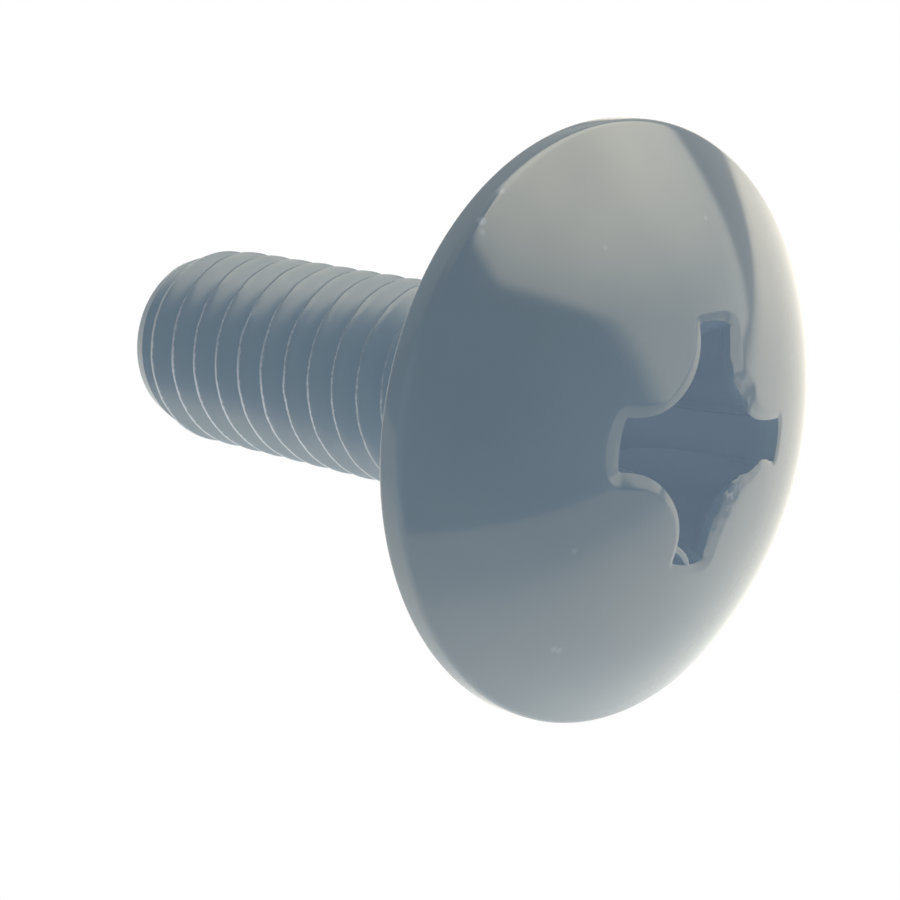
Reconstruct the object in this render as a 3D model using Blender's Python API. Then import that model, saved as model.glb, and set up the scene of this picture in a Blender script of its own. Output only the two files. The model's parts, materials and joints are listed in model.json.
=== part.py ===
"""A machine screw with a mushroom head and a cross recess, lying on its side.

The screw is one piece of steel: a blank is headed and struck with a cross-shaped punch in one blow,
and its thread is then rolled on. It is modelled upright along its own axis, with the bearing face
under the head at height zero, and then laid down on the rim of the head and its last threads.
Lengths are in metres, angles in radians.
"""

from math import asin, atan2, ceil, cos, pi, radians, sin, sqrt, tan

import bmesh
import bpy

MM = 0.001

# Head: a shallow ball-shaped dome over a thin upright rim, flat underneath
HEAD_DIAMETER = 15.9 * MM
DOME_HEIGHT = 3.21 * MM
RIM_THICKNESS = 0.74 * MM
RIM_TOP_ROUNDING = 0.30 * MM
RIM_FOOT_ROUNDING = 0.18 * MM
EDGE_FLATTENING = 0.09 * MM

# Shank: a short plain neck, then a right-hand sixty-degree thread to a tapered end
SHANK_LENGTH = 16.4 * MM
THREAD_DIAMETER = 5.86 * MM
THREAD_PITCH = 1.0 * MM
THREAD_FLANK_ANGLE = radians(60)
CREST_SHARE = 1 / 8
THREAD_DEPTH_SHARE = 0.6134
ROLLED_BLANK_SHARE = 0.6495
NECK_LENGTH = 1.2 * MM
RUNOUT_SHARE = 0.6
NECK_FILLET = 0.4 * MM
TIP_TAPER_LENGTH = 1.25 * MM
TIP_FACE_DIAMETER = 5.06 * MM
CREST_HEIGHT_AT_FRONT = 0.114 * MM

# Cross recess: the space of a turned punch whose four flutes leave four wings
RECESS_SPAN = 6.64 * MM
RECESS_DEPTH = 3.9 * MM
WING_WIDTH = 1.5 * MM
FLUTE_ROUNDING = 2.04 * MM
WING_END_ANGLE = radians(26.5)
WING_SIDE_DRAFT = radians(5.75)
RECESS_FLOOR_ANGLE = radians(146)
RECESS_TURN = radians(64.5)

# How finely the round forms are cut
HEAD_SEGMENTS = 64
DOME_RINGS = 10
ROUNDING_STEPS = 3
THREAD_SEGMENTS = 40
TIP_SEGMENTS = 48
PUNCH_SEGMENTS = 40
FLUTE_STEPS = 7

# How far a cutting or joining body reaches past the surface that it cuts or joins
OVERRUN = 0.5 * MM

# Finish: a dark slate blue passivated layer on zinc, with a soft gloss
FINISH_COLOUR = (0.105, 0.150, 0.200, 1.0)
FINISH_ROUGHNESS = 0.22
FINISH_METALLIC = 0.35

HEAD_RADIUS = HEAD_DIAMETER / 2
CREST_RADIUS = THREAD_DIAMETER / 2
ROOT_RADIUS = CREST_RADIUS - THREAD_DEPTH_SHARE * THREAD_PITCH
NECK_RADIUS = CREST_RADIUS - ROLLED_BLANK_SHARE * THREAD_PITCH / 2
HEAD_HEIGHT = RIM_THICKNESS + DOME_HEIGHT
DOME_RADIUS = (HEAD_RADIUS**2 + DOME_HEIGHT**2) / (2 * DOME_HEIGHT)


def clear_scene():
    """Remove whatever the opened file holds."""
    for item in list(bpy.data.objects):
        bpy.data.objects.remove(item, do_unlink=True)


def finish_material():
    """The dark finish that covers the whole screw."""
    material = bpy.data.materials.new("dark_passivated_steel")
    material.use_nodes = True
    shader = material.node_tree.nodes["Principled BSDF"]
    shader.inputs["Base Color"].default_value = FINISH_COLOUR
    shader.inputs["Roughness"].default_value = FINISH_ROUGHNESS
    shader.inputs["Metallic"].default_value = FINISH_METALLIC
    material.diffuse_color = FINISH_COLOUR
    return material


def object_from(name, bm):
    """Make an object from a closed mesh, with its faces pointing out."""
    bmesh.ops.recalc_face_normals(bm, faces=bm.faces)
    mesh = bpy.data.meshes.new(name)
    bm.to_mesh(mesh)
    bm.free()
    item = bpy.data.objects.new(name, mesh)
    bpy.context.scene.collection.objects.link(item)
    return item


def helper(item, parent):
    """Mark a body that only joins or cuts, and let it follow the screw."""
    item.hide_render = True
    item.display_type = "WIRE"
    item.parent = parent
    return item


def combine(target, other, operation):
    """Join, cut or intersect the target with another body."""
    step = target.modifiers.new(f"{operation.lower()}_{other.name}", "BOOLEAN")
    step.operation = operation
    step.object = other
    step.solver = "EXACT"


def turned(name, profile, segments):
    """Turn a profile of (radius, height) points, from pole to pole, with a flat facing front."""
    bm = bmesh.new()
    rings = []
    for radius, height in profile[1:-1]:
        angles = [2 * pi * (index + 0.5) / segments for index in range(segments)]
        rings.append([bm.verts.new((radius * cos(a), radius * sin(a), height)) for a in angles])
    for lower, upper in zip(rings, rings[1:]):
        for index in range(segments):
            after = (index + 1) % segments
            bm.faces.new((lower[index], lower[after], upper[after], upper[index]))
    for ring, point in ((rings[0], profile[0]), (rings[-1], profile[-1])):
        pole = bm.verts.new((0, 0, point[1]))
        for index in range(segments):
            bm.faces.new((ring[index], ring[(index + 1) % segments], pole))
    return object_from(name, bm)


def arc(centre, radius, start, end, steps):
    """Points of an arc in the profile plane, both ends included."""
    angles = [start + (end - start) * index / steps for index in range(steps + 1)]
    return [(centre[0] + radius * cos(a), centre[1] + radius * sin(a)) for a in angles]


def dome_height(radius):
    """Height of the dome's surface over the bearing face, a little flatter towards its edge."""
    share = radius / HEAD_RADIUS
    ball = HEAD_HEIGHT - DOME_RADIUS + sqrt(DOME_RADIUS**2 - radius**2)
    return ball - EDGE_FLATTENING * 4 * share**4 * (1 - share**2)


def head_profile():
    """The headed blank from the foot of its neck, under the head and over the dome."""
    ball_centre = HEAD_HEIGHT - DOME_RADIUS
    rim_top = RIM_TOP_ROUNDING
    rounding_height = ball_centre + sqrt((DOME_RADIUS - rim_top) ** 2 - (HEAD_RADIUS - rim_top) ** 2)
    dome_edge_tilt = asin((HEAD_RADIUS - rim_top) / (DOME_RADIUS - rim_top))
    core = ROOT_RADIUS - OVERRUN
    foot = RIM_FOOT_ROUNDING

    points = [(0, -NECK_LENGTH - (NECK_RADIUS - core))]
    points.append((core, -NECK_LENGTH - (NECK_RADIUS - core)))
    points.append((NECK_RADIUS, -NECK_LENGTH))
    fillet_centre = (NECK_RADIUS + NECK_FILLET, -NECK_FILLET)
    points += arc(fillet_centre, NECK_FILLET, pi, pi / 2, ROUNDING_STEPS)
    points += arc((HEAD_RADIUS - foot, foot), foot, -pi / 2, 0, ROUNDING_STEPS)
    points += arc((HEAD_RADIUS - rim_top, rounding_height), rim_top, 0, pi / 2 - dome_edge_tilt, ROUNDING_STEPS)
    edge_angle = asin(points[-1][0] / DOME_RADIUS)
    for ring in range(1, DOME_RINGS):
        radius = DOME_RADIUS * sin(edge_angle * (1 - ring / DOME_RINGS))
        points.append((radius, dome_height(radius)))
    points.append((0, HEAD_HEIGHT))
    return points


def thread_share(height):
    """How deep the thread is: full on the shank, fading out within a half turn of the neck."""
    return min(1.0, max(0.0, 0.5 - (height + NECK_LENGTH) / (RUNOUT_SHARE * THREAD_PITCH)))


def thread_section():
    """One pitch of the thread as (height, radius) points: root flat, flank and crest flat."""
    depth = CREST_RADIUS - ROOT_RADIUS
    half_crest = CREST_SHARE * THREAD_PITCH / 2
    half_foot = half_crest + depth * tan(THREAD_FLANK_ANGLE / 2)
    return [
        (-half_foot, ROOT_RADIUS),
        (-half_crest, CREST_RADIUS),
        (half_crest, CREST_RADIUS),
        (half_foot, ROOT_RADIUS),
    ]


def threaded_bar():
    """A right-hand thread as one closed surface, longer than the shank at both ends."""
    section = thread_section()
    start = CREST_HEIGHT_AT_FRONT - THREAD_PITCH * (ceil(SHANK_LENGTH / THREAD_PITCH) + 2)
    turns = ceil((RIM_THICKNESS / 2 - start) / THREAD_PITCH)
    steps = turns * THREAD_SEGMENTS
    bm = bmesh.new()
    columns = []
    for step in range(steps + 1):
        turn = (step + 0.5) / THREAD_SEGMENTS
        column = []
        for offset, radius in section:
            height = start + THREAD_PITCH * turn + offset
            reach = ROOT_RADIUS + (radius - ROOT_RADIUS) * thread_share(height)
            column.append(bm.verts.new((reach * cos(2 * pi * turn), reach * sin(2 * pi * turn), height)))
        columns.append(column)
    for left, right in zip(columns, columns[1:]):
        for low in range(len(section) - 1):
            bm.faces.new((left[low], right[low], right[low + 1], left[low + 1]))
    for step in range(steps - THREAD_SEGMENTS):
        above = step + THREAD_SEGMENTS
        bm.faces.new((columns[step][-1], columns[step + 1][-1], columns[above + 1][0], columns[above][0]))
    close_ends(bm)
    return object_from("threaded_bar", bm)


def close_ends(bm):
    """Close the two open ends of a bar with fans that meet on its axis."""
    open_edges = [edge for edge in bm.edges if edge.is_boundary]
    middle = sum(edge.verts[0].co.z for edge in open_edges) / len(open_edges)
    lower = [edge for edge in open_edges if edge.verts[0].co.z < middle]
    upper = [edge for edge in open_edges if edge.verts[0].co.z >= middle]
    for edges in (lower, upper):
        height = sum(edge.verts[0].co.z for edge in edges) / len(edges)
        centre = bm.verts.new((0, 0, height))
        for edge in edges:
            bm.faces.new((*edge.verts, centre))


def tip_envelope():
    """The turned form that the end of the thread lies in: flat face, taper, then clear of it."""
    tip = TIP_FACE_DIAMETER / 2
    slope = (CREST_RADIUS - tip) / TIP_TAPER_LENGTH
    clear_radius = CREST_RADIUS + OVERRUN
    clear_height = -SHANK_LENGTH + (clear_radius - tip) / slope
    top = HEAD_HEIGHT + THREAD_PITCH
    profile = [(0, -SHANK_LENGTH), (tip, -SHANK_LENGTH), (clear_radius, clear_height)]
    profile += [(clear_radius, top), (0, top)]
    return turned("tip_envelope", profile, TIP_SEGMENTS)


def recess_punch():
    """The turned cone of the punch, point down, as wide as the wings at the recess's mouth."""
    mouth = dome_height(RECESS_SPAN / 2)
    floor = mouth - RECESS_DEPTH
    floor_radius = RECESS_SPAN / 2 - RECESS_DEPTH * tan(WING_END_ANGLE)
    top = HEAD_HEIGHT + OVERRUN
    top_radius = RECESS_SPAN / 2 + (top - mouth) * tan(WING_END_ANGLE)
    point = floor - floor_radius / tan(RECESS_FLOOR_ANGLE / 2)
    profile = [(0, point), (floor_radius, floor), (top_radius, top), (0, top)]
    return turned("recess_punch", profile, PUNCH_SEGMENTS)


def flute(quarter):
    """One of the punch's four flutes: a drafted bar with a rounded inner corner."""
    mouth = dome_height(RECESS_SPAN / 2)
    low = mouth - RECESS_DEPTH - RECESS_SPAN / 2
    high = HEAD_HEIGHT + 2 * OVERRUN
    far = RECESS_SPAN
    turn = RECESS_TURN + quarter * pi / 2
    bm = bmesh.new()
    outlines = []
    for height in (low, high):
        side = WING_WIDTH / 2 + (height - mouth) * tan(WING_SIDE_DRAFT)
        corner = side + FLUTE_ROUNDING
        outline = arc((corner, corner), FLUTE_ROUNDING, pi, 1.5 * pi, FLUTE_STEPS)
        outline += [(far, side), (far, far), (side, far)]
        outlines.append([bm.verts.new(turned_point(x, y, turn, height)) for x, y in outline])
    lower, upper = outlines
    for index in range(len(lower)):
        after = (index + 1) % len(lower)
        bm.faces.new((lower[index], lower[after], upper[after], upper[index]))
    bm.faces.new(lower)
    bm.faces.new(upper)
    return object_from(f"flute_{quarter + 1}", bm)


def turned_point(x, y, turn, height):
    """A point of a plan outline, turned about the screw's axis."""
    return (x * cos(turn) - y * sin(turn), x * sin(turn) + y * cos(turn), height)


def evaluated_points(item):
    """The corners of the finished body, in its own upright frame."""
    bpy.context.view_layer.update()
    evaluated = item.evaluated_get(bpy.context.evaluated_depsgraph_get())
    mesh = evaluated.to_mesh()
    points = [vertex.co.copy() for vertex in mesh.vertices]
    evaluated.to_mesh_clear()
    return points


def lay_down(item):
    """Lay the screw on its side, resting on the head's rim and on the lowest crest near its tip."""
    points = evaluated_points(item)
    rim = [point for point in points if point.z >= 0]
    shank = [point for point in points if point.z < 0]
    lean = 0.0
    for _ in range(4):
        foot = max(rim, key=lambda point: point.x * cos(lean) - point.z * sin(lean))
        lean = min(atan2(foot.x - point.x, foot.z - point.z) for point in shank)
    item.rotation_euler = (0, pi / 2 - lean, 0)
    low = min(point.z * sin(lean) - point.x * cos(lean) for point in points)
    along = [point.z * cos(lean) + point.x * sin(lean) for point in points]
    across = [point.y for point in points]
    item.location = (-(min(along) + max(along)) / 2, -(min(across) + max(across)) / 2, -low)


def build_screw():
    """Head and neck, joined to the thread, struck with the punch and laid down."""
    screw = turned("screw", head_profile(), HEAD_SEGMENTS)
    screw.data.materials.append(finish_material())

    bar = helper(threaded_bar(), screw)
    combine(bar, helper(tip_envelope(), screw), "INTERSECT")
    combine(screw, bar, "UNION")

    punch = helper(recess_punch(), screw)
    for quarter in range(4):
        combine(punch, helper(flute(quarter), screw), "DIFFERENCE")
    combine(screw, punch, "DIFFERENCE")

    screw.data.shade_smooth()
    screw.data.set_sharp_from_angle(angle=radians(30))
    lay_down(screw)
    return screw


clear_scene()
build_screw()
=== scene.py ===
# %% [markdown]
# # A mushroom head machine screw
# This lesson dresses one small steel screw: a wide thin dome of a head, a cross recess struck into
# it, and a rolled metric thread. The screw lies on its side, on the rim of its head and on its last
# threads, as it would on a bench. The solid model is loaded first and gives the frame: everything
# below is built upright, along the screw's own axis, and is then laid into that frame.

# %% Load the frame
from math import asin, atan2, ceil, cos, degrees, hypot, pi, radians, sin, sqrt, tan

import bmesh
import bpy
from mathutils import Matrix, Vector, noise
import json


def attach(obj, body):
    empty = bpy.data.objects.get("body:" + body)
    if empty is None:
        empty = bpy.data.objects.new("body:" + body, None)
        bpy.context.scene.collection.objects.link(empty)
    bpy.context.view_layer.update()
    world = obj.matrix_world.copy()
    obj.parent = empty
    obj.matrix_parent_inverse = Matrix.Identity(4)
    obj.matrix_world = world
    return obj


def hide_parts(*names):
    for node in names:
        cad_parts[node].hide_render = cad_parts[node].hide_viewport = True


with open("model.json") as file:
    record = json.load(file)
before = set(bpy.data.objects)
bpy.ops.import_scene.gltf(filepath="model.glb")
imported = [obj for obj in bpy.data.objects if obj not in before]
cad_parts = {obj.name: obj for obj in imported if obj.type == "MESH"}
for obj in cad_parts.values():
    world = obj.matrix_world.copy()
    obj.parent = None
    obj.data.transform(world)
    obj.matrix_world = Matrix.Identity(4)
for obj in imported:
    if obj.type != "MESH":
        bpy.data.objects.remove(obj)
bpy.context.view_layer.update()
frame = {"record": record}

# %% [markdown]
# ## Sizes
# A screw is described by a few driving sizes, and the same ones are used here as on the bench: the
# head's width and height, the thread's outer diameter and pitch, and the driver recess, which is a
# standard form of its own. All lengths are in metres, so MM turns a size in millimetres into one.
# A size that is given as a SHARE here is a part of the pitch, as in the standard for such threads.

# %% Driving sizes
MM = 0.001
HEAD_DIAMETER = 15.9 * MM
DOME_HEIGHT = 3.21 * MM
RIM_THICKNESS = 0.74 * MM
RIM_TOP_ROUNDING = 0.30 * MM
RIM_FOOT_ROUNDING = 0.18 * MM
EDGE_FLATTENING = 0.09 * MM
SHANK_LENGTH = 16.4 * MM
THREAD_DIAMETER = 5.86 * MM
THREAD_PITCH = 1.0 * MM
# Between a flank and the screw's axis
THREAD_FLANK_ANGLE = radians(60)
THREAD_DEPTH_SHARE = 0.6134
CREST_SHARE = 1 / 8
ROLLED_BLANK_SHARE = 0.6495
NECK_LENGTH = 1.2 * MM
NECK_FILLET = 0.4 * MM
RUNOUT_SHARE = 0.6
TIP_TAPER_LENGTH = 1.25 * MM
TIP_FACE_DIAMETER = 5.06 * MM
CREST_HEIGHT_AT_FRONT = 0.114 * MM

HEAD_RADIUS = HEAD_DIAMETER / 2
CREST_RADIUS = THREAD_DIAMETER / 2
ROOT_RADIUS = CREST_RADIUS - THREAD_DEPTH_SHARE * THREAD_PITCH
NECK_RADIUS = CREST_RADIUS - ROLLED_BLANK_SHARE * THREAD_PITCH / 2
HEAD_HEIGHT = RIM_THICKNESS + DOME_HEIGHT
DOME_RADIUS = (HEAD_RADIUS**2 + DOME_HEIGHT**2) / (2 * DOME_HEIGHT)
print(f"dome radius {DOME_RADIUS / MM:.2f} mm, thread root {2 * ROOT_RADIUS / MM:.2f} mm across")

# %% [markdown]
# ## The dome and the recess
# On the real screw the head is upset from wire between two dies, and the punch that shapes the dome
# strikes the cross recess in the same blow. The recess could be cut with a Boolean, but the cut
# would leave long thin faces, and a gloss finish shows each of them. So the head is woven from rings
# instead: every ring has the same number of points, the inner ones follow the cross, the outer ones
# are circles, and the rings between them lie exactly on the dome.
#
# The cross itself is the outline of the punch: a cone with four flutes. Its wings end on the cone,
# their sides are drafted, and between two wings the outline is an arc. Offsetting this outline
# outwards is easy, because the arcs keep their centres, and that gives the worn lip at the mouth.

# %% The dome, and the height of the recess's mouth
RECESS_SPAN = 6.46 * MM


def dome_height(radius):
    """Height of the dome over the bearing face, a little flatter towards its edge."""
    share = radius / HEAD_RADIUS
    ball = HEAD_HEIGHT - DOME_RADIUS + sqrt(DOME_RADIUS**2 - radius**2)
    # None in the middle and at the edge, and most at four fifths of the way out
    return ball - EDGE_FLATTENING * 4 * share**4 * (1 - share**2)


RECESS_MOUTH = dome_height(RECESS_SPAN / 2)
print(f"the mouth of the recess lies {RECESS_MOUTH / MM:.2f} mm over the bearing face")

# %% [markdown]
# The cross repeats itself. Half a wing with half a flute and its mirror image make a quarter of it,
# and four quarters make the whole, so only that half is worked out, at any height and grown by any
# spread. Deep in the recess no straight part of the wing is left.

# %% Half a wing of the cross
WING_WIDTH = 1.40 * MM
FLUTE_ROUNDING = 2.16 * MM
WING_CORNER_ROUNDING = 0.10 * MM
WING_END_ANGLE = radians(26.5)
WING_SIDE_DRAFT = radians(5.75)
END_STEPS = 5
CORNER_STEPS = 4
SIDE_STEPS = 23
# Over 1, the points along a wing's side and its flute crowd towards the wing's corner
SIDE_CROWDING = 1.3
# Direction from a flute's centre to the screw's axis, when one wing points along +X
FLUTE_MIDDLE = -0.75 * pi


def half_wing(height, spread):
    """Outline from the middle of a wing's end to the middle of a flute, grown by spread."""
    depth = RECESS_MOUTH - height
    rounding = WING_CORNER_ROUNDING + spread
    end = RECESS_SPAN / 2 - depth * tan(WING_END_ANGLE) - WING_CORNER_ROUNDING
    side = WING_WIDTH / 2 - depth * tan(WING_SIDE_DRAFT) - WING_CORNER_ROUNDING
    bulge = FLUTE_ROUNDING + WING_CORNER_ROUNDING
    centre = side + bulge
    corner_x = sqrt(end**2 - side**2)
    straight = max(0.0, corner_x - centre)
    start_angle = -pi / 2
    if corner_x < centre:
        # Below the straight part of the wing, its end meets the flute's arc itself
        start_angle = corner_on_flute(end, centre, bulge)
        corner_x = centre + bulge * cos(start_angle)
        side = centre + bulge * sin(start_angle)
    turn = atan2(side, corner_x)
    points = []
    for step in range(END_STEPS):
        angle = turn * step / END_STEPS
        points.append(((end + rounding) * cos(angle), (end + rounding) * sin(angle)))
    side_normal = start_angle + pi
    for step in range(CORNER_STEPS):
        angle = turn + (side_normal - turn) * step / CORNER_STEPS
        points.append((corner_x + rounding * cos(angle), side + rounding * sin(angle)))
    sweep = start_angle - FLUTE_MIDDLE
    length = straight + bulge * sweep
    for step in range(SIDE_STEPS + 1):
        travel = length * (step / SIDE_STEPS) ** SIDE_CROWDING
        if travel < straight:
            points.append((corner_x - travel, side + rounding))
        else:
            angle = start_angle - (travel - straight) / bulge
            reach = bulge - rounding
            points.append((centre + reach * cos(angle), centre + reach * sin(angle)))
    return points


def corner_on_flute(end, centre, bulge):
    """Angle, about the flute's centre, of the point where the wing's end cone meets its arc."""
    reach = centre * sqrt(2)
    share = (reach**2 + bulge**2 - end**2) / (2 * reach * bulge)
    return FLUTE_MIDDLE + atan2(sqrt(max(0.0, 1 - share**2)), share)


print(len(half_wing(RECESS_MOUTH, 0)), "points from the middle of a wing to that of a flute")

# %% [markdown]
# On this screw the punch and the wire were not quite in line, so the cross lies a little off the
# middle of the head. How far it is turned is chance.

# %% The whole cross
RECESS_TURN = radians(62.8)
RECESS_OFF_CENTRE = Vector((0.07, 0.08)) * MM


def cross_outline(height, spread):
    """The whole cross at one height: each half wing and its mirror image, four times round."""
    half = half_wing(height, spread)
    mirrored = [(y, x) for x, y in reversed(half[1:])]
    points = []
    for quarter in range(4):
        turn = RECESS_TURN + quarter * pi / 2
        for point in half[:-1] + mirrored:
            place = Vector(point)
            place.rotate(Matrix.Rotation(turn, 2))
            points.append(place + RECESS_OFF_CENTRE)
    return points


outline = cross_outline(RECESS_MOUTH, 0)
core = 2 * min(p.length for p in outline)
print(len(outline), "points round the cross, core", round(core / MM, 2), "mm across")

# %% [markdown]
# The head can now be woven. From the inside out it has the cone at the recess's floor, the drafted
# walls, the rounded lip, the dome, the rim with its two roundings, the flat bearing face and the
# fillet into the neck. Walls and lip are spaced closely, because that is where the light turns.
#
# The lip is worn, and wider in some directions than in others. A driver that slipped has also pushed
# metal in over the recess: as ragged burrs in one flute, and as round ones in the next.
# Widenings and burrs are swellings of the outline round the screw's axis, each with a direction and
# a half angle, and they fade to nothing at the ends. Pushing the outline along its own outward
# direction keeps the rings from crossing.

# %% Wear round the recess
LIP_WIDTH = 0.13 * MM
LIP_SLOPE = radians(17)
# Direction, half angle, added width and slope of each place where the lip is wider
LIP_WIDENINGS = (
    (radians(242.8), radians(28), 0.33 * MM, radians(11)),
    (radians(190), radians(55), 0.17 * MM, radians(8)),
    (radians(275), radians(45), 0.14 * MM, radians(30)),
    (radians(112), radians(50), 0.42 * MM, radians(12)),
    (radians(8), radians(46), 0.36 * MM, radians(17)),
)
# Direction, half angle and reach of each burr
RAGGED_BURRS = ((radians(16), radians(40), 0.42 * MM), (radians(46), radians(8), 0.20 * MM))
ROUND_BURRS = ((radians(124), radians(21), 0.36 * MM), (radians(94), radians(25), 0.34 * MM))
BURR_GRAIN = 0.22 * MM
BURR_RAGGEDNESS = 0.35


def swelling(place, swellings):
    """Sum of swellings round the axis, each with its direction, its half angle and its size."""
    total = 0.0
    for middle, half_angle, size in swellings:
        off = (atan2(place.y, place.x) - middle + pi) % (2 * pi) - pi
        total += size * max(0.0, 1 - (off / half_angle) ** 2) ** 2
    return total


def burr(place):
    """How far metal is pushed in over the recess, on the two sides that a driver turns against."""
    ragged = 1 + BURR_RAGGEDNESS * noise.noise(place.to_3d() / BURR_GRAIN)
    return swelling(place, RAGGED_BURRS) * ragged + swelling(place, ROUND_BURRS)


def lip_width(place):
    """Width of the worn lip at a place."""
    wider = [(middle, half_angle, width) for middle, half_angle, width, slope in LIP_WIDENINGS]
    return LIP_WIDTH + swelling(place, wider)


def lip_depth(place):
    """Depth of the lip's foot under the dome."""
    deeper = []
    for middle, half_angle, width, slope in LIP_WIDENINGS:
        deeper.append((middle, half_angle, width * tan(slope)))
    return LIP_WIDTH * tan(LIP_SLOPE) + swelling(place, deeper)


widths = [lip_width(place) / MM for place in outline]
print(f"worn lip: {min(widths):.2f} to {max(widths):.2f} mm wide")

# %% [markdown]
# The floor is the shallow cone of the punch's point. From it the walls rise with their draft. Near
# the mouth they are pushed in where there is a burr, and they end at the foot of the lip, which
# isn't level, because the dome falls away from its middle and the lip is deeper in places.

# %% The floor and the walls of the recess
RECESS_DEPTH = 3.9 * MM
RECESS_FLOOR_ANGLE = radians(146)
FLOOR_RINGS = 4
WALL_RINGS = 16
# Over 1, the rings of the walls crowd towards the lip
WALL_CROWDING = 1.7
# How late, going up, the rings of the walls bend towards the foot of the lip
WALL_BEND = 3
LIP_DROP = 0.18 * MM
BURR_THICKNESS = 0.3 * MM


def floor_rings():
    """The shallow cone at the bottom of the recess, from its point outwards."""
    floor = RECESS_MOUTH - RECESS_DEPTH
    rim = cross_outline(floor, 0)
    rings = []
    for ring in range(1, FLOOR_RINGS + 1):
        share = ring / FLOOR_RINGS
        rings.append([(p.x * share, p.y * share, cone_height(p.length * share)) for p in rim])
    return rings


def cone_height(radius):
    """Height of the recess's floor cone at a radius."""
    floor_radius = RECESS_SPAN / 2 - RECESS_DEPTH * tan(WING_END_ANGLE)
    return RECESS_MOUTH - RECESS_DEPTH - (floor_radius - radius) / tan(RECESS_FLOOR_ANGLE / 2)


def outline_and_outward(height):
    """The cross at one height, and at each of its points the direction out of it."""
    inner = cross_outline(height, 0)
    outer = cross_outline(height, LIP_WIDTH)
    return [(p, (q - p) / LIP_WIDTH) for p, q in zip(inner, outer)]


def wall_rings():
    """The drafted walls, from the floor up to the foot of the lip."""
    rings = []
    for ring in range(1, WALL_RINGS + 1):
        share = 1 - (1 - ring / WALL_RINGS) ** WALL_CROWDING
        depth = LIP_DROP + (1 - share) * (RECESS_DEPTH - LIP_DROP)
        fade = max(0.0, 1 - (depth - LIP_DROP) / BURR_THICKNESS)
        points = []
        for place, outward in outline_and_outward(RECESS_MOUTH - depth):
            p = place - outward * burr(place) * fade
            lift = dome_height(p.length) - lip_depth(p) - (RECESS_MOUTH - LIP_DROP)
            points.append((p.x, p.y, RECESS_MOUTH - depth + lift * share**WALL_BEND))
        rings.append(points)
    return rings


print(f"recess: {RECESS_DEPTH / MM:.1f} mm deep, {len(floor_rings() + wall_rings())} rings")

# %% [markdown]
# Next come the worn lip and the dome. The dome's rings start as the outline of the lip and end as a
# circle at the rim. On the way each point moves to its even place round that circle, so the faces
# spread out evenly.

# %% The lip and the dome
# Over 1, the lip is steepest at the walls
LIP_CURVE = 1.1
LIP_RINGS = 9
BURR_SIZE = 0.42 * MM
BURR_RISE = 0.03 * MM
DOME_RINGS = 46
# Under 1, the points of the dome's rings space out evenly soon after they leave the lip
DOME_EVENING = 0.7


def lip_outline(share):
    """The mouth grown from the foot of the lip, at share 0, to where it meets the dome, at 1."""
    foot = outline_and_outward(RECESS_MOUTH - LIP_DROP)
    return [p + outward * (lip_width(p) * share - burr(p)) for p, outward in foot]


def lip_rings():
    """The worn lip: steepest at the walls, and running out flat on the dome."""
    rings = []
    for ring in range(1, LIP_RINGS + 1):
        share = ring / LIP_RINGS
        fall = (1 - share) ** LIP_CURVE
        points = []
        for p in lip_outline(share):
            grain = 1 + noise.noise(p.to_3d() / BURR_GRAIN)
            raised = BURR_RISE * burr(p) / BURR_SIZE * grain * (1 - share)
            points.append((p.x, p.y, dome_height(p.length) - lip_depth(p) * fall + raised))
        rings.append(points)
    return rings


def dome_rings(edge_radius, count):
    """Rings on the dome that turn from the cross into a circle as they spread."""
    inner = lip_outline(1)
    first = atan2(inner[0].y, inner[0].x)
    rings = []
    for ring in range(1, DOME_RINGS + 1):
        share = ring / DOME_RINGS
        even = share**DOME_EVENING
        points = []
        for index, p in enumerate(inner):
            own = first + (atan2(p.y, p.x) - first) % (2 * pi)
            regular = first + 2 * pi * index / count
            angle = own + (regular - own) * even
            radius = p.length + (edge_radius - p.length) * share
            points.append((radius * cos(angle), radius * sin(angle), dome_height(radius)))
        rings.append(points)
    return rings


print(LIP_RINGS, "rings on the lip and", DOME_RINGS, "on the dome")

# %% [markdown]
# The rest of the head is round: the rim, rounded at its top and at its foot, the flat bearing face,
# and the fillet into the neck. It is one profile, set round the axis. The profile's first point is
# where the upper rounding meets the dome, with nearly the dome's own slope.

# %% The rim, the bearing face and the neck
SLOPE_STEP = 0.01 * MM
NECK_CORE_RADIUS = 0.8 * ROOT_RADIUS
ROUNDING_STEPS = 6


def arc(centre, radius, start, end, steps):
    """Points of an arc in the profile plane, both ends included."""
    angles = [start + (end - start) * index / steps for index in range(steps + 1)]
    return [(centre[0] + radius * cos(a), centre[1] + radius * sin(a)) for a in angles]


def underside_profile():
    """From the dome's edge round the rim, under the head and down the neck, as (radius, height)."""
    top = RIM_TOP_ROUNDING
    foot = RIM_FOOT_ROUNDING
    inside = dome_height(HEAD_RADIUS - top - SLOPE_STEP)
    dome_tilt = atan2((inside - dome_height(HEAD_RADIUS - top)) / SLOPE_STEP, 1)
    rounding_height = dome_height(HEAD_RADIUS - top + top * sin(dome_tilt)) - top * cos(dome_tilt)
    points = arc((HEAD_RADIUS - top, rounding_height), top, pi / 2 - dome_tilt, 0, ROUNDING_STEPS)
    points += arc((HEAD_RADIUS - foot, foot), foot, 0, -pi / 2, ROUNDING_STEPS)
    middle = (HEAD_RADIUS + NECK_RADIUS + NECK_FILLET - foot) / 2
    points.append((middle, 0))
    fillet_centre = (NECK_RADIUS + NECK_FILLET, -NECK_FILLET)
    points += arc(fillet_centre, NECK_FILLET, pi / 2, pi, ROUNDING_STEPS)
    points.append((NECK_RADIUS, -NECK_LENGTH))
    # Under the neck the profile goes inwards as a cone, inside the thread
    points.append((NECK_CORE_RADIUS, -NECK_LENGTH - (NECK_RADIUS - NECK_CORE_RADIUS)))
    return points


print(len(underside_profile()), "points from the rim to the neck")

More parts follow.
